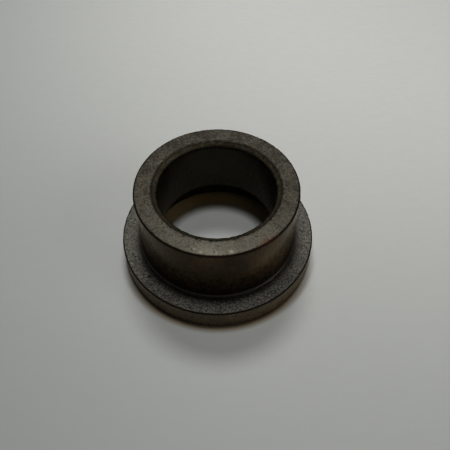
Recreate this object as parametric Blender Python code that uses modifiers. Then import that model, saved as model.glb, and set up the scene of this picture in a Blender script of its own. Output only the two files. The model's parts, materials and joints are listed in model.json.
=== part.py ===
"""Flanged sleeve bushing, pressed and sintered in bronze as one turned body.

Lengths are in metres. Z is the bore's axis and z = 0 is the flange's thrust face, so the
barrel stands up along +Z. The flange end is recessed: a wide counterbore opens at z = 0
and ends in a flat shoulder round the bore.
"""

import math

import bpy

OBJECT_NAME = "flanged_sleeve_bushing"
BODY_NAME = "flanged_bushing"

# Driving dimensions.
BARREL_DIAMETER = 0.0280
LENGTH = 0.0164
FLANGE_DIAMETER = 0.0350
FLANGE_THICKNESS = 0.0043
BORE_DIAMETER = 0.0202
RECESS_DIAMETER = 0.0254
RECESS_DEPTH = 0.0049

# Edges and corners.
MOUTH_CHAMFER_WIDTH = 0.00083
MOUTH_CHAMFER_DEPTH = 0.00066
END_EDGE_RADIUS = 0.00012
FOOT_FILLET_RADIUS = 0.00050
FLANGE_EDGE_RADIUS = 0.00015
RECESS_MOUTH_CHAMFER = 0.00020
RECESS_CORNER_RADIUS = 0.00030
BORE_EXIT_CHAMFER = 0.00025

# How finely round shapes are divided.
TURN_STEPS = 96
EDGE_SEGMENTS = 2
FILLET_SEGMENTS = 4
SHARP_ANGLE = math.radians(30.0)

# Oil-darkened bronze.
BRONZE_COLOUR = (0.130, 0.115, 0.095, 1.0)
BRONZE_ROUGHNESS = 0.50
BRONZE_METALLIC = 0.60


def clear_scene():
    for obj in list(bpy.data.objects):
        bpy.data.objects.remove(obj, do_unlink=True)


def arc(centre, radius, start, end, segments):
    """Points of (radius, height) along an arc, from angle start to angle end in degrees."""
    points = []
    for i in range(segments + 1):
        angle = math.radians(start + (end - start) * i / segments)
        points.append((centre[0] + radius * math.cos(angle), centre[1] + radius * math.sin(angle)))
    return points


def outer_side():
    """From the mouth of the bore over the end face, down the barrel and round the flange."""
    barrel = BARREL_DIAMETER / 2
    flange = FLANGE_DIAMETER / 2
    mouth = BORE_DIAMETER / 2 + MOUTH_CHAMFER_WIDTH
    end_edge = (barrel - END_EDGE_RADIUS, LENGTH - END_EDGE_RADIUS)
    foot = (barrel + FOOT_FILLET_RADIUS, FLANGE_THICKNESS + FOOT_FILLET_RADIUS)
    upper_rim = (flange - FLANGE_EDGE_RADIUS, FLANGE_THICKNESS - FLANGE_EDGE_RADIUS)
    lower_rim = (flange - FLANGE_EDGE_RADIUS, FLANGE_EDGE_RADIUS)
    points = [(mouth, LENGTH)]
    points += arc(end_edge, END_EDGE_RADIUS, 90, 0, EDGE_SEGMENTS)
    points += arc(foot, FOOT_FILLET_RADIUS, 180, 270, FILLET_SEGMENTS)
    points += arc(upper_rim, FLANGE_EDGE_RADIUS, 90, 0, EDGE_SEGMENTS)
    points += arc(lower_rim, FLANGE_EDGE_RADIUS, 0, -90, EDGE_SEGMENTS)
    return points


def inner_side():
    """From the thrust face up the recess, across its shoulder and up the bore to the mouth."""
    bore = BORE_DIAMETER / 2
    recess = RECESS_DIAMETER / 2
    corner = (recess - RECESS_CORNER_RADIUS, RECESS_DEPTH - RECESS_CORNER_RADIUS)
    points = [(recess + RECESS_MOUTH_CHAMFER, 0.0), (recess, RECESS_MOUTH_CHAMFER)]
    points += arc(corner, RECESS_CORNER_RADIUS, 0, 90, EDGE_SEGMENTS)
    points += [(bore + BORE_EXIT_CHAMFER, RECESS_DEPTH), (bore, RECESS_DEPTH + BORE_EXIT_CHAMFER)]
    points += [(bore, LENGTH - MOUTH_CHAMFER_DEPTH)]
    return points


def turned_body(name, outline, collection):
    """A solid of revolution about Z from a closed outline of (radius, height) points."""
    count = len(outline)
    profile = bpy.data.meshes.new(name + "_profile")
    edges = [(i, (i + 1) % count) for i in range(count)]
    profile.from_pydata([(radius, 0.0, height) for radius, height in outline], edges, [])
    body = bpy.data.objects.new(name, profile)
    collection.objects.link(body)
    screw = body.modifiers.new("turn", "SCREW")
    screw.axis = "Z"
    screw.angle = math.tau
    screw.steps = TURN_STEPS
    screw.render_steps = TURN_STEPS
    screw.merge_threshold = 0.00001
    make_mesh_final(body, profile)
    return body


def make_mesh_final(body, profile):
    """Replaces the profile by the turned mesh, smooth except across real edges."""
    graph = bpy.context.evaluated_depsgraph_get()
    turned = bpy.data.meshes.new_from_object(body.evaluated_get(graph))
    body.modifiers.clear()
    body.data = turned
    turned.name = body.name
    bpy.data.meshes.remove(profile)
    turned.shade_smooth()
    turned.set_sharp_from_angle(angle=SHARP_ANGLE)


def bronze_material():
    material = bpy.data.materials.new("sintered_bronze")
    material.use_nodes = True
    shader = material.node_tree.nodes["Principled BSDF"]
    shader.inputs["Base Color"].default_value = BRONZE_COLOUR
    shader.inputs["Roughness"].default_value = BRONZE_ROUGHNESS
    shader.inputs["Metallic"].default_value = BRONZE_METALLIC
    return material


def main():
    clear_scene()
    parts = bpy.data.collections.new(OBJECT_NAME)
    bpy.context.scene.collection.children.link(parts)
    body = turned_body(BODY_NAME, outer_side() + inner_side(), parts)
    body.data.materials.append(bronze_material())


main()
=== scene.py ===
import json
import math

import bpy
import numpy as np
from mathutils import Matrix, Vector, noise


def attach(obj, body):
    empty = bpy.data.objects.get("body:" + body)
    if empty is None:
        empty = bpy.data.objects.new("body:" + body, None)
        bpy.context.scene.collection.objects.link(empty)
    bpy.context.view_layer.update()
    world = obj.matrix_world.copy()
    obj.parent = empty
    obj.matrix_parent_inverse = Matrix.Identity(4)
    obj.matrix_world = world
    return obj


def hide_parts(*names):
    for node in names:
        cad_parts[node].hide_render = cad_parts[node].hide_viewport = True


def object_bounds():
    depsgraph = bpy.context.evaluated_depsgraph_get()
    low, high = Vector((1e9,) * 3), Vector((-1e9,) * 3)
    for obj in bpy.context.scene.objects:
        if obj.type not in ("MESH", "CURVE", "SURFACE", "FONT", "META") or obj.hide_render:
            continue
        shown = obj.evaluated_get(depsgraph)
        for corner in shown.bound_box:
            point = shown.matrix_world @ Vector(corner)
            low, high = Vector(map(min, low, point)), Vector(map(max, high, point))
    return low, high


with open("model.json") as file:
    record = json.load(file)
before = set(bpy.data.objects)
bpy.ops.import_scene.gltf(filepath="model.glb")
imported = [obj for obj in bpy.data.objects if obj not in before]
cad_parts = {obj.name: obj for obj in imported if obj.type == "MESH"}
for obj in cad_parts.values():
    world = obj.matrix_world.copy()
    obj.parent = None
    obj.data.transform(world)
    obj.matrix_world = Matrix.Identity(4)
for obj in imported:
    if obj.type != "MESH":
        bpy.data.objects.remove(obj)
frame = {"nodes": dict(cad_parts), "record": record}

CAD_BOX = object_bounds()
NODE = "flanged_bushing"
MM = 0.001

# The fine surface: steps round the axis, and the spacing of points along the outline on each face.
TURN_STEPS = 540
FACE_SPACING = 0.12 * MM
CHAMFER_SPACING = 0.14 * MM
RIM_SPACING = 0.25 * MM
BARREL_SPACING = 0.45 * MM
BORE_SPACING = 0.50 * MM
HIDDEN_SPACING = 0.45 * MM
EDGE_STEPS = 4
FILLET_STEPS = 8

# Edge roundings. The worn outer edges are a little rounder than on the CAD body, and inside it.
END_EDGE = 0.26 * MM
FLANGE_EDGE = 0.22 * MM
FOOT_FILLET = 0.50 * MM
RECESS_CORNER = 0.30 * MM

# Relief of the surface, all of it cut inwards, and the reach of edge marks and of the painted shade at
# the foot.
PRESSED_GRAIN = 0.034 * MM
SOFT_GRAIN = 0.022 * MM
WALL_GRAIN = 0.002 * MM
GRAIN_SIZE = 0.34 * MM
NICK_DEPTH = 0.080 * MM
NICK_SIZE = 0.55 * MM
EDGE_REACH = 0.32 * MM
CREVICE_REACH = 0.90 * MM

# Single marks: radius and height in mm, angle from +X in degrees, width and depth in mm.
PITS = (
    (15.5, 4.3, -140, 0.35, 0.16),
    (10.1, 11.0, 85, 0.30, 0.12),
    (11.0, 16.4, 150, 0.40, 0.12),
    (11.0, 16.4, 105, 0.35, 0.10),
    (11.0, 16.4, 175, 0.40, 0.10),
    (14.0, 16.4, -65, 0.40, 0.09),
    (17.5, 4.3, -120, 0.45, 0.10),
    (17.5, 4.3, -105, 0.40, 0.09),
    (17.5, 4.3, 40, 0.50, 0.10),
    (14.0, 9.5, 120, 0.35, 0.09),
)
# Reddish-brown stains: as above, with a weight in place of the depth.
STAINS = (
    (14.0, 13.0, -100, 0.9, 0.8),
    (14.0, 12.0, -85, 0.8, 0.9),
    (14.0, 9.5, -85, 1.0, 0.7),
    (14.0, 14.0, -105, 0.7, 0.6),
    (14.0, 7.0, -65, 0.6, 0.8),
    (14.0, 16.4, -60, 0.8, 0.9),
    (13.9, 16.4, -55, 1.1, 1.0),
    (14.0, 16.4, -50, 0.8, 0.9),
    (14.0, 11.0, 130, 1.1, 0.7),
    (14.0, 8.5, 60, 0.9, 0.6),
)
# Places rubbed or chipped paler than the rest, and painted glints on the end face near its front edge: as
# above, with a weight.
RUBBED_AND_GLINTS = (
    (14.0, 11.5, -55, 4.5, 0.9),
    (14.0, 15.0, -95, 3.2, 0.6),
    (14.0, 9.0, -40, 3.5, 0.7),
    (14.0, 12.0, 75, 4.0, 0.7),
    # These four are painted glints: highlights on the end face near its front outer edge.
    (13.3, 16.4, -100, 0.5, 1.0),
    (13.3, 16.4, -90, 0.4, 0.8),
    (13.3, 16.4, -80, 0.6, 1.0),
    (13.0, 16.4, -105, 0.4, 0.7),
    (11.0, 16.4, 95, 0.6, 0.9),
    (11.0, 16.4, 150, 0.5, 1.0),
    (11.0, 16.4, 175, 0.5, 0.9),
)

# The camera: angles in degrees, the lens in mm, and the rest in units of the barrel's radius.
CAMERA_ELEVATION = 53.30
CAMERA_ROLL = -0.18
CAMERA_DISTANCE = 6.744
CAMERA_TARGET = (0.0975, 0.0, 0.4052)
CAMERA_LENS = 41.12
CAMERA_CLIP_START = 0.1
# This one is in metres.
CAMERA_CLIP_END = 10.0


def frame_sizes():
    """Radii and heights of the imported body, from its vertices and its mounts."""
    points = [(math.hypot(v.co.x, v.co.y), v.co.z) for v in frame["nodes"][NODE].data.vertices]
    heights = {mount["name"]: mount["pos_m"][2] for mount in frame["record"]["mounts"]}
    top = max(z for r, z in points)
    bore = min(r for r, z in points)
    near = 0.02 * MM
    return {
        "top": top,
        "seat": heights["flange_seat"],
        "shoulder": heights["recess_shoulder"],
        "bore": bore,
        "barrel": max(r for r, z in points if z > top - MM),
        "flange": max(r for r, z in points),
        "mouth": min(r for r, z in points if z > top - near),
        "bore_top": max(z for r, z in points if r < bore + near),
        "bore_end": min(z for r, z in points if r < bore + near),
        "recess": min(r for r, z in points if z < MM),
        "recess_mouth": min(r for r, z in points if z < near),
    }


SIZES = frame_sizes()


def straight(start, end, spacing):
    """Points from start up to, and without, end."""
    steps = max(1, round(math.dist(start, end) / spacing))
    shares = [i / steps for i in range(steps)]
    return [tuple(a + (b - a) * share for a, b in zip(start, end)) for share in shares]


def arc(centre, radius, first, last, steps):
    """Points along an arc from angle first up to, and without, angle last."""
    angles = [math.radians(first + (last - first) * i / steps) for i in range(steps)]
    return [(centre[0] + radius * math.cos(a), centre[1] + radius * math.sin(a)) for a in angles]


def outer_zones(s):
    """Zones (name, points, grain depth) from the mouth over the outside to the thrust face."""
    top, seat, barrel, flange = s["top"], s["seat"], s["barrel"], s["flange"]
    foot = barrel + FOOT_FILLET
    rim = flange - FLANGE_EDGE
    end = barrel - END_EDGE
    low = seat + FOOT_FILLET
    return [
        ("end_face", straight((s["mouth"], top), (end, top), FACE_SPACING), SOFT_GRAIN),
        ("end_edge", arc((end, top - END_EDGE), END_EDGE, 90, 0, EDGE_STEPS), WALL_GRAIN),
        ("barrel", straight((barrel, top - END_EDGE), (barrel, low), BARREL_SPACING), WALL_GRAIN),
        ("foot", arc((foot, low), FOOT_FILLET, 180, 270, FILLET_STEPS), WALL_GRAIN),
        ("flange_face", straight((foot, seat), (rim, seat), FACE_SPACING), PRESSED_GRAIN),
        ("flange_edge", arc((rim, seat - FLANGE_EDGE), FLANGE_EDGE, 90, 0, EDGE_STEPS), SOFT_GRAIN),
        ("rim", straight((flange, seat - FLANGE_EDGE), (flange, FLANGE_EDGE), RIM_SPACING), SOFT_GRAIN),
        ("flange_edge", arc((rim, FLANGE_EDGE), FLANGE_EDGE, 0, -90, EDGE_STEPS), SOFT_GRAIN),
        ("thrust_face", straight((rim, 0.0), (s["recess_mouth"], 0.0), HIDDEN_SPACING), SOFT_GRAIN),
    ]


def inner_zones(s):
    """Zones from the recess at the flange end up the bore to its mouth."""
    recess, shoulder, bore = s["recess"], s["shoulder"], s["bore"]
    lip = s["recess_mouth"] - recess
    corner = (recess - RECESS_CORNER, shoulder - RECESS_CORNER)
    bore_edge = bore + s["bore_end"] - shoulder
    wall_top = shoulder - RECESS_CORNER
    return [
        ("recess", [(s["recess_mouth"], 0.0)], WALL_GRAIN),
        ("recess", straight((recess, lip), (recess, wall_top), HIDDEN_SPACING), WALL_GRAIN),
        ("recess", arc(corner, RECESS_CORNER, 0, 90, EDGE_STEPS), WALL_GRAIN),
        ("recess", straight((corner[0], shoulder), (bore_edge, shoulder), HIDDEN_SPACING), WALL_GRAIN),
        ("bore", straight((bore_edge, shoulder), (bore, s["bore_end"]), CHAMFER_SPACING), WALL_GRAIN),
        ("bore", straight((bore, s["bore_end"]), (bore, s["bore_top"]), BORE_SPACING), WALL_GRAIN),
        ("chamfer", straight((bore, s["bore_top"]), (s["mouth"], s["top"]), CHAMFER_SPACING), SOFT_GRAIN),
    ]


def sharp_corners(s):
    """The outline's convex corners, where edges nick, and where they darken with wear and a painted dark
    reflection.
    """
    return [
        (s["barrel"], s["top"]),
        (s["flange"], s["seat"]),
        (s["flange"], 0.0),
        (s["mouth"], s["top"]),
        (s["bore"], s["bore_top"]),
        (s["bore"], s["bore_end"]),
        (s["recess_mouth"], 0.0),
    ]


def outline_data(zones):
    """Arrays over the closed outline: points, outward normals, grain depths and zone numbers."""
    points = np.array([p for _, run, _ in zones for p in run])
    grain = np.array([depth for _, run, depth in zones for _ in run])
    number = np.array([i for i, (_, run, _) in enumerate(zones) for _ in run])
    along = np.roll(points, -1, axis=0) - np.roll(points, 1, axis=0)
    along /= np.linalg.norm(along, axis=1)[:, None]
    normals = np.stack([-along[:, 1], along[:, 0]], axis=1)
    return points, normals, grain, number


def edge_closeness(points):
    """Near 1 at a sharp corner of the outline, fading over about EDGE_REACH."""
    gaps = [np.linalg.norm(points - np.array(corner), axis=1) for corner in sharp_corners(SIZES)]
    return np.exp(-((np.min(gaps, axis=0) / EDGE_REACH) ** 2))


def turned(points):
    """Positions of every outline point at every step round the axis, as (outline, turn, 3)."""
    angles = np.arange(TURN_STEPS) * math.tau / TURN_STEPS
    radius, height = points[:, 0][:, None], points[:, 1][:, None]
    flat = np.ones(TURN_STEPS)[None, :]
    return np.stack([radius * np.cos(angles), radius * np.sin(angles), height * flat], axis=2)


def noise_field(positions, size, octaves):
    """Smooth noise, about -1 to 1, with features of the given size in metres."""
    flat = positions.reshape(-1, 3) / size
    values = [noise.fractal(Vector(p), 0.9, 2.0, octaves) for p in flat]
    return np.array(values).reshape(positions.shape[:2])


def mark_field(positions, marks):
    """The strongest mark at each position: its weight at its middle, fading over about its width."""
    field = np.zeros(positions.shape[:2])
    for radius, height, degrees, width, weight in marks:
        angle = math.radians(degrees)
        centre = np.array([radius * math.cos(angle), radius * math.sin(angle), height]) * MM
        gap = np.linalg.norm(positions - centre, axis=2) / (width * MM)
        field = np.maximum(field, weight * np.exp(-(gap**2) * 2.0))
    return field


def smooth_step(values, low, high):
    share = np.clip((values - low) / (high - low), 0.0, 1.0)
    return share * share * (3.0 - 2.0 * share)


def carved_surface():
    """The turned surface with grain, nicked edges and pits, and its shading fields."""
    zones = outer_zones(SIZES) + inner_zones(SIZES)
    points, normals, grain, number = outline_data(zones)
    positions = turned(points)
    outward = turned(normals)
    edge = edge_closeness(points)[:, None] * np.ones(TURN_STEPS)[None, :]
    grains = noise_field(positions, GRAIN_SIZE, 2)
    nicks = smooth_step(noise_field(positions, NICK_SIZE, 3), 0.0, 0.6) * edge
    pits = mark_field(positions, PITS)
    depth = grain[:, None] * (0.5 + 0.5 * np.clip(grains, -1.0, 1.0)) + NICK_DEPTH * nicks + pits * MM
    carved = positions - outward * depth[:, :, None]
    fields = {"edge": edge, "nick": nicks, "pit": smooth_step(pits, 0.01, 0.08)}
    fields["stain"] = mark_field(positions, STAINS)
    fields["rubbed"] = mark_field(positions, RUBBED_AND_GLINTS)
    # Painted shade in the crease along the barrel's foot, strongest there and fading over CREVICE_REACH.
    foot = np.array([SIZES["barrel"] + FOOT_FILLET * 0.5, SIZES["seat"]])
    gap = np.linalg.norm(points - foot, axis=1) / CREVICE_REACH
    fields["crevice"] = np.exp(-(gap**2))[:, None] * np.ones(TURN_STEPS)[None, :]
    return zones, number, carved, fields


def ring_faces(count):
    """Quads between neighbouring outline points and neighbouring turn steps."""
    i, j = np.meshgrid(np.arange(count), np.arange(TURN_STEPS), indexing="ij")
    after, beside = (i + 1) % count, (j + 1) % TURN_STEPS
    row, next_row = i * TURN_STEPS, after * TURN_STEPS
    return np.stack([row + j, next_row + j, next_row + beside, row + beside], axis=2).reshape(-1, 4)


def bushing_piece(materials):
    """The bushing's fine surface as one closed mesh, one material for each kind of face."""
    zones, number, carved, fields = carved_surface()
    mesh = bpy.data.meshes.new("bushing_surface")
    mesh.from_pydata(carved.reshape(-1, 3).tolist(), [], ring_faces(len(number)).tolist())
    names = list(materials)
    for name in names:
        mesh.materials.append(materials[name])
    slots = np.array([names.index(MATERIAL_OF[zone]) for zone, _, _ in zones])
    mesh.polygons.foreach_set("material_index", np.repeat(slots[number], TURN_STEPS).astype(np.int32))
    for name, field in fields.items():
        attribute = mesh.attributes.new(name, "FLOAT", "POINT")
        attribute.data.foreach_set("value", field.reshape(-1).astype(np.float32))
    mesh.shade_smooth()
    mesh.update()
    piece = bpy.data.objects.new("bushing_surface", mesh)
    bpy.context.scene.collection.objects.link(piece)
    return piece


MATERIAL_OF = {
    "end_face": "end_face",
    "end_edge": "edge_line",
    "barrel": "barrel_wall",
    "foot": "foot_fillet",
    "flange_face": "flange_face",
    "flange_edge": "edge_line",
    "rim": "flange_rim",
    "thrust_face": "flange_face",
    "recess": "bore_wall",
    "bore": "bore_wall",
    "chamfer": "mouth_chamfer",
}


def plug(tree, value, socket):
    """Links value to socket if it is another node's output, or else sets it as a constant."""
    if isinstance(value, bpy.types.NodeSocket):
        tree.links.new(value, socket)
    else:
        socket.default_value = value


def add(tree, kind, inputs, **settings):
    made = tree.nodes.new(kind)
    for name, value in settings.items():
        setattr(made, name, value)
    for name, value in inputs.items():
        plug(tree, value, made.inputs[name])
    return made


def millimetres(tree):
    """Object coordinates in millimetres."""
    coords = tree.nodes.new("ShaderNodeTexCoord")
    scaled = add(tree, "ShaderNodeVectorMath", {0: coords.outputs["Object"]}, operation="SCALE")
    scaled.inputs["Scale"].default_value = 1.0 / MM
    return scaled.outputs[0]


def stretched(tree, vector, scale):
    return add(tree, "ShaderNodeVectorMath", {0: vector, 1: scale}, operation="MULTIPLY").outputs[0]


def grain_noise(tree, vector, per_mm, detail, seed):
    shifted = add(tree, "ShaderNodeVectorMath", {0: vector, 1: (seed, seed * 0.7, seed * 1.3)})
    inputs = {"Vector": shifted.outputs[0], "Scale": per_mm, "Detail": detail, "Roughness": 0.6}
    return add(tree, "ShaderNodeTexNoise", inputs).outputs["Fac"]


def band(tree, value, low, high, to_low=0.0, to_high=1.0):
    inputs = {"Value": value, "From Min": low, "From Max": high, "To Min": to_low, "To Max": to_high}
    return add(tree, "ShaderNodeMapRange", inputs, interpolation_type="SMOOTHSTEP").outputs["Result"]


def maths(tree, operation, first, second):
    return add(tree, "ShaderNodeMath", {0: first, 1: second}, operation=operation).outputs[0]


def mixed(tree, share, first, second, blend="MIX"):
    """A colour mix of first and second by share."""
    inputs = {0: share, 6: first, 7: second}
    return add(tree, "ShaderNodeMix", inputs, data_type="RGBA", blend_type=blend).outputs[2]


def field(tree, name):
    return add(tree, "ShaderNodeAttribute", {}, attribute_name=name).outputs["Fac"]


def tone(colour, factor=1.0):
    return tuple(channel * factor for channel in colour) + (1.0,)


# Colours that every finish shares.
RUST = (0.105, 0.052, 0.026)
STAIN = (0.100, 0.036, 0.016)
PORE = (0.012, 0.010, 0.008)
# EDGE darkens the edges: partly their own worn colour, partly a painted dark reflection on the rounding.
EDGE = (0.024, 0.015, 0.009)

# Broad clouds and rust patches per mm, and where each noise is sampled.
CLOUDS_PER_MM = 0.35
PATCHES_PER_MM = 0.55
FINE_SEED = 3.1
CLOUD_SEED = 11.7
PATCH_SEED = 27.3
FIBRE_SEED = 5.0
# Pores for each speck of grain, and how dark the nicks are.
PORE_SHARE = 0.55
NICK_DARKNESS = 0.9

# What a finish has unless it says otherwise.
PLAIN_FINISH = {
    "streaks": (1.0, 1.0, 1.0),
    "clouds": 0.17,
    "gloss": 0.5,
    "tint": (1.0, 0.96, 0.90),
    "grime": 0.9,
    "rub": 2.2,
}

# One finish for each kind of face. Grain is in specks per mm and bump in mm. Contrast, clouds, rust,
# pores and the painted shade along the barrel's foot are strengths of those marks, and the paleness
# of a rubbed place or of a painted glint says how much paler it is.
FINISHES = {
    "end_face": {
        "colour": (0.120, 0.113, 0.095),
        "grain": 3.2, "contrast": 0.34, "rust": 0.25, "pores": 0.4, "bump": 0.030,
        "roughness": 0.27, "metallic": 0.08, "gloss": 0.07, "rub": 2.5,
    },
    "flange_face": {
        "colour": (0.099, 0.097, 0.087),
        "grain": 3.4, "contrast": 0.80, "rust": 0.06, "pores": 0.9, "bump": 0.060,
        "roughness": 0.44, "metallic": 0.25, "gloss": 0.7,
    },
    "flange_rim": {
        "colour": (0.170, 0.136, 0.090),
        "grain": 2.8, "contrast": 0.42, "rust": 0.40, "pores": 0.5, "bump": 0.030,
        "roughness": 0.48, "metallic": 0.25,
    },
    "barrel_wall": {
        "colour": (0.060, 0.043, 0.024),
        "grain": 1.3, "contrast": 0.18, "rust": 0.60, "pores": 0.0, "bump": 0.006,
        "roughness": 0.24, "metallic": 0.30, "gloss": 0.34, "rub": 3.2,
        "streaks": (1.0, 1.0, 0.6), "tint": (1.0, 0.86, 0.66), "clouds": 0.34,
    },
    "foot_fillet": {
        "colour": (0.110, 0.100, 0.082),
        "grain": 1.6, "contrast": 0.12, "rust": 0.10, "pores": 0.0, "bump": 0.003,
        "roughness": 0.32, "metallic": 0.30, "grime": 0.42,
    },
    "bore_wall": {
        "colour": (0.046, 0.043, 0.028),
        "grain": 2.0, "contrast": 0.18, "rust": 0.15, "pores": 0.1, "bump": 0.005,
        "roughness": 0.32, "metallic": 0.35,
        "streaks": (1.0, 1.0, 0.4), "tint": (1.0, 0.95, 0.80),
    },
    "mouth_chamfer": {
        "colour": (0.075, 0.069, 0.046),
        "grain": 3.0, "contrast": 0.50, "rust": 0.20, "pores": 0.4, "bump": 0.030,
        "roughness": 0.46, "metallic": 0.30, "rub": 3.0,
    },
    # The dark edge line: partly the edges' own worn colour, partly a painted dark reflection on the
    # rounding.
    "edge_line": {
        "colour": (0.019, 0.013, 0.008),
        "grain": 3.0, "contrast": 0.40, "rust": 0.25, "pores": 0.3, "bump": 0.012,
        "roughness": 0.55, "metallic": 0.20, "gloss": 0.25, "rub": 7.0,
    },
}


def pore_dots(tree, vector, grain):
    """Round pores of about one size, on some of the cells."""
    inputs = {"Vector": vector, "Scale": grain * PORE_SHARE, "Randomness": 1.0}
    cells = add(tree, "ShaderNodeTexVoronoi", inputs)
    dots = band(tree, cells.outputs["Distance"], 0.10, 0.30, 1.0, 0.0)
    return maths(tree, "MULTIPLY", dots, band(tree, cells.outputs["Color"], 0.62, 0.70))


def grained_metal(tree, finish, fine, cloud):
    """The metal's own colour, with grain and broad clouds."""
    colour, contrast, clouds = finish["colour"], finish["contrast"], finish["clouds"]
    speck = band(tree, fine, 0.34, 0.66)
    base = mixed(tree, speck, tone(colour, 1.0 - contrast), tone(colour, 1.0 + contrast))
    shade = band(tree, cloud, 0.30, 0.70, 1.0 - clouds, 1.0 + clouds)
    grey = add(tree, "ShaderNodeCombineColor", {0: shade, 1: shade, 2: shade}).outputs[0]
    return mixed(tree, 1.0, base, grey, "MULTIPLY")


def marked_metal(tree, finish, fine, patch, metal):
    """Rust patches, stains, rubbed places, painted glints, and edges dark with wear and painted
    reflection.
    """
    rust = maths(tree, "MULTIPLY", band(tree, patch, 0.50, 0.72), finish["rust"])
    rusted = mixed(tree, rust, metal, tone(RUST))
    stain = maths(tree, "MULTIPLY", field(tree, "stain"), band(tree, fine, 0.25, 0.60, 0.5, 1.0))
    stained = mixed(tree, stain, rusted, tone(STAIN))
    # Rubbed places, and painted glints, made paler.
    pale = maths(tree, "MULTIPLY", field(tree, "rubbed"), band(tree, fine, 0.30, 0.60, 0.4, 1.0))
    rubbed = mixed(tree, pale, stained, tone(finish["colour"], finish["rub"]))
    # Dark edges: partly wear, partly a painted dark reflection.
    near_edge = band(tree, field(tree, "edge"), 0.25, 0.95)
    worn_and_dark_reflection = maths(tree, "MULTIPLY", near_edge, band(tree, fine, 0.30, 0.60, 0.35, 0.9))
    return mixed(tree, worn_and_dark_reflection, rubbed, tone(EDGE))


def dark_places(tree, finish, pores):
    """Pores, pits, nicks and the painted shade in the crease along the barrel's foot."""
    pits = maths(tree, "MAXIMUM", pores, field(tree, "pit"))
    nicks = maths(tree, "MULTIPLY", field(tree, "nick"), NICK_DARKNESS)
    # Painted shade along the barrel's foot.
    grime = maths(tree, "MULTIPLY", field(tree, "crevice"), finish["grime"])
    return maths(tree, "MAXIMUM", maths(tree, "MAXIMUM", pits, nicks), grime)


def bronze(name, finish):
    """Sintered bronze with the finish of one kind of face."""
    material = bpy.data.materials.new(name)
    material.use_nodes = True
    tree = material.node_tree
    shader = tree.nodes["Principled BSDF"]
    vector = millimetres(tree)
    grain, roughness = finish["grain"], finish["roughness"]
    fine = grain_noise(tree, stretched(tree, vector, finish["streaks"]), grain, 4.0, FINE_SEED)
    cloud = grain_noise(tree, vector, CLOUDS_PER_MM, 3.0, CLOUD_SEED)
    patch = grain_noise(tree, vector, PATCHES_PER_MM, 4.0, PATCH_SEED)
    pores = maths(tree, "MULTIPLY", pore_dots(tree, vector, grain), finish["pores"])
    marked = marked_metal(tree, finish, fine, patch, grained_metal(tree, finish, fine, cloud))
    colour = mixed(tree, dark_places(tree, finish, pores), marked, tone(PORE))
    plug(tree, colour, shader.inputs["Base Color"])
    fine_rough = band(tree, fine, 0.30, 0.70, roughness - 0.06, roughness + 0.08)
    rough = maths(tree, "ADD", fine_rough, band(tree, cloud, 0.35, 0.65, -0.04, 0.04))
    plug(tree, rough, shader.inputs["Roughness"])
    shader.inputs["Metallic"].default_value = finish["metallic"]
    shader.inputs["Specular IOR Level"].default_value = finish["gloss"]
    shader.inputs["Specular Tint"].default_value = tone(finish["tint"])
    relief = maths(tree, "SUBTRACT", fine, pores)
    inputs = {"Height": relief, "Distance": finish["bump"] * MM, "Strength": 1.0}
    bumped = add(tree, "ShaderNodeBump", inputs)
    plug(tree, bumped.outputs["Normal"], shader.inputs["Normal"])
    return material


def bronze_materials():
    return {name: bronze(name, PLAIN_FINISH | finish) for name, finish in FINISHES.items()}


# Painted light on the floor: palest round one spot, where most light falls, greyer away from it; lengths
# in mm.
LIGHT_POOL_SPOT = (82.0, 114.0, 0.0)
LIGHT_POOL_REACH = 65.0
LIGHT_POOL_FADE = 213.0
FLOOR_NEAR = (0.790, 0.805, 0.795, 1.0)
FLOOR_FAR = (0.492, 0.510, 0.518, 1.0)
FIBRE = (0.45, 0.45, 0.44, 1.0)
FIBRE_PER_MM = 0.9
# Painted light and shade on the floor: a brown painted contact shadow in front of the flange, and painted
# bronze light in the bore's shadow.
CONTACT_SHADOW = (0.42, 0.33, 0.22, 1.0)
BOUNCE = (1.60, 1.30, 0.90, 1.0)
# Half the floor's width in metres, and its finish.
FLOOR_HALF = 2.5
FLOOR_ROUGHNESS = 0.55
FLOOR_GLOSS = 0.35


def floor_colour(tree, vector):
    """A broad painted pool of light, palest round one spot, and a faint fibre grain."""
    inputs = {0: vector, 1: LIGHT_POOL_SPOT}
    gap = add(tree, "ShaderNodeVectorMath", inputs, operation="DISTANCE").outputs["Value"]
    # Painted light: the floor is paler nearer the spot where the most light falls.
    pale = band(tree, gap, LIGHT_POOL_REACH, LIGHT_POOL_FADE, 1.0, 0.0)
    colour = mixed(tree, pale, FLOOR_FAR, FLOOR_NEAR)
    fibre = grain_noise(tree, stretched(tree, vector, (0.4, 1.0, 1.0)), FIBRE_PER_MM, 4.0, FIBRE_SEED)
    return mixed(tree, band(tree, fibre, 0.3, 0.7, 0.0, 0.05), colour, FIBRE)


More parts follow.
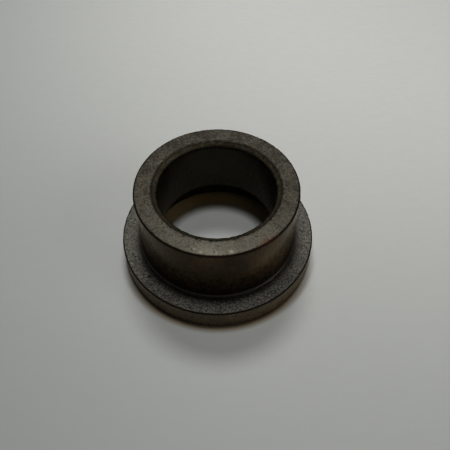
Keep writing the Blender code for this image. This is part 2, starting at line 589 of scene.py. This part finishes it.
def floor_tints(tree, vector, colour):
    """The painted contact shadow round the front of the flange, and the painted bounced light inside the
    bore.
    """
    rim, bore = SIZES["flange"] / MM, SIZES["bore"] / MM
    reach = add(tree, "ShaderNodeVectorMath", {0: vector}, operation="LENGTH").outputs["Value"]
    side = add(tree, "ShaderNodeSeparateXYZ", {0: vector}).outputs["Y"]
    in_front = band(tree, side, -15.0, -2.0, 0.9, 0.0)
    # Painted shadow: a brown contact shadow on the floor just in front of the flange.
    ring = maths(tree, "MULTIPLY", band(tree, reach, rim + 0.4, rim + 1.6, 1.0, 0.0), in_front)
    contact_shaded = mixed(tree, ring, colour, mixed(tree, 1.0, colour, CONTACT_SHADOW, "MULTIPLY"))
    # Painted light: warm light bounced onto the floor at the back, inside the bore.
    at_back = band(tree, side, 2.0, 7.0)
    warm = maths(tree, "MULTIPLY", band(tree, reach, bore - 1.2, bore + 1.0), at_back)
    inside = maths(tree, "MULTIPLY", warm, band(tree, reach, rim - 1.0, rim - 3.0))
    return mixed(tree, inside, contact_shaded, mixed(tree, 1.0, contact_shaded, BOUNCE, "MULTIPLY"))


def stage_piece(name, points, faces):
    """A mesh in the scene that isn't part of the bushing, and the tree of its new material."""
    mesh = bpy.data.meshes.new(name)
    mesh.from_pydata(points, [], faces)
    piece = bpy.data.objects.new(name, mesh)
    bpy.context.scene.collection.objects.link(piece)
    material = bpy.data.materials.new(name + "_pale")
    material.use_nodes = True
    mesh.materials.append(material)
    return piece, material.node_tree


def floor_piece():
    """A pale surface under the bushing, with painted light and shade in its colour."""
    half, low = FLOOR_HALF, CAD_BOX[0].z
    corners = [(-half, -half, low), (half, -half, low), (half, half, low), (-half, half, low)]
    _, tree = stage_piece("floor", corners, [(0, 1, 2, 3)])
    shader = tree.nodes["Principled BSDF"]
    vector = millimetres(tree)
    plug(tree, floor_tints(tree, vector, floor_colour(tree, vector)), shader.inputs["Base Color"])
    shader.inputs["Roughness"].default_value = FLOOR_ROUGHNESS
    shader.inputs["Specular IOR Level"].default_value = FLOOR_GLOSS


# The backdrop: metres, and its emission low and high on it.
BACKDROP_STEPS = 96
BACKDROP_RADIUS = 0.42
BACKDROP_HEIGHT = 0.35
BACKDROP_LOW = (0.20, 0.20, 0.197, 1.0)
BACKDROP_HIGH = (0.36, 0.36, 0.355, 1.0)


def backdrop_piece():
    """A pale round wall behind everything. It shows and is reflected, but lights nothing else."""
    steps = BACKDROP_STEPS
    angles = [math.tau * i / steps for i in range(steps)]
    ring = [(BACKDROP_RADIUS * math.cos(a), BACKDROP_RADIUS * math.sin(a)) for a in angles]
    points = [(x, y, z) for z in (0.0, BACKDROP_HEIGHT) for x, y in ring]
    faces = [(i, (i + 1) % steps, steps + (i + 1) % steps, steps + i) for i in range(steps)]
    wall, tree = stage_piece("backdrop", points, faces)
    for rays in ("diffuse", "transmission", "volume_scatter", "shadow"):
        setattr(wall, "visible_" + rays, False)
    tree.nodes.remove(tree.nodes["Principled BSDF"])
    high = add(tree, "ShaderNodeSeparateXYZ", {0: millimetres(tree)}).outputs["Z"]
    colour = mixed(tree, band(tree, high, -40.0, 260.0), BACKDROP_LOW, BACKDROP_HIGH)
    glow = add(tree, "ShaderNodeEmission", {"Color": colour})
    plug(tree, glow.outputs[0], tree.nodes["Material Output"].inputs["Surface"])


def aimed(obj, location, target):
    """Places obj at location with its -Z axis towards target."""
    obj.location = location
    obj.rotation_mode = "QUATERNION"
    obj.rotation_quaternion = (Vector(target) - Vector(location)).to_track_quat("-Z", "Y")
    bpy.context.scene.collection.objects.link(obj)


def area_light(name, location, target, size, power, colour):
    """A soft oval light; size is its width and its height."""
    data = bpy.data.lights.new(name, "AREA")
    data.shape = "ELLIPSE"
    data.size = size[0]
    data.size_y = size[1]
    data.energy = power
    data.color = colour
    light = bpy.data.objects.new(name, data)
    aimed(light, location, target)
    return light


# Lights: place in metres, width and height, power in watts, colour. All aim at the flange's middle.
LIGHTS = {
    "overhead": ((0.037, 0.320, 3.000), (0.453, 0.453), 19.4, (1.0, 1.000, 0.990)),
    "behind": ((-0.004, 0.112, 0.218), (0.080, 0.048), 0.13, (1.0, 0.990, 0.950)),
    "right": ((0.310, -0.140, 0.220), (0.240, 0.240), 0.14, (1.0, 0.980, 0.940)),
    "front": ((0.120, -0.210, 0.440), (0.200, 0.200), 0.030, (1.0, 0.800, 0.450)),
}
ROOM_LIGHT = (0.034, 0.033, 0.031, 1.0)


def lights():
    """A soft light overhead, a close one behind, weak ones at the right and in front, and the room's."""
    centre = (0.0, 0.0, SIZES["seat"])
    for name, (place, size, power, colour) in LIGHTS.items():
        area_light(name, place, centre, size, power, colour)
    world = bpy.data.worlds.new("room")
    world.use_nodes = True
    world.node_tree.nodes["Background"].inputs["Color"].default_value = ROOM_LIGHT
    bpy.context.scene.world = world


def camera():
    """The camera looks down at the bushing along +Y."""
    unit = SIZES["barrel"]
    target = Vector(CAMERA_TARGET) * unit
    elevation = math.radians(CAMERA_ELEVATION)
    back = Vector((0.0, -math.cos(elevation), math.sin(elevation)))
    data = bpy.data.cameras.new("camera")
    data.lens = CAMERA_LENS
    data.clip_start = CAMERA_CLIP_START * unit
    data.clip_end = CAMERA_CLIP_END
    seen = bpy.data.objects.new("camera", data)
    bpy.context.scene.collection.objects.link(seen)
    seen.rotation_mode = "QUATERNION"
    level = (-back).to_track_quat("-Z", "Y").to_matrix()
    rolled = level @ Matrix.Rotation(math.radians(CAMERA_ROLL), 3, "Z")
    seen.rotation_quaternion = rolled.to_quaternion()
    seen.location = target + back * CAMERA_DISTANCE * unit
    bpy.context.scene.camera = seen


def main():
    piece = bushing_piece(bronze_materials())
    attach(piece, "root")
    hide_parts(NODE)
    floor_piece()
    backdrop_piece()
    lights()
    camera()
    bpy.context.scene.view_settings.view_transform = "Standard"
    bpy.context.scene.view_settings.look = "High Contrast"


main()
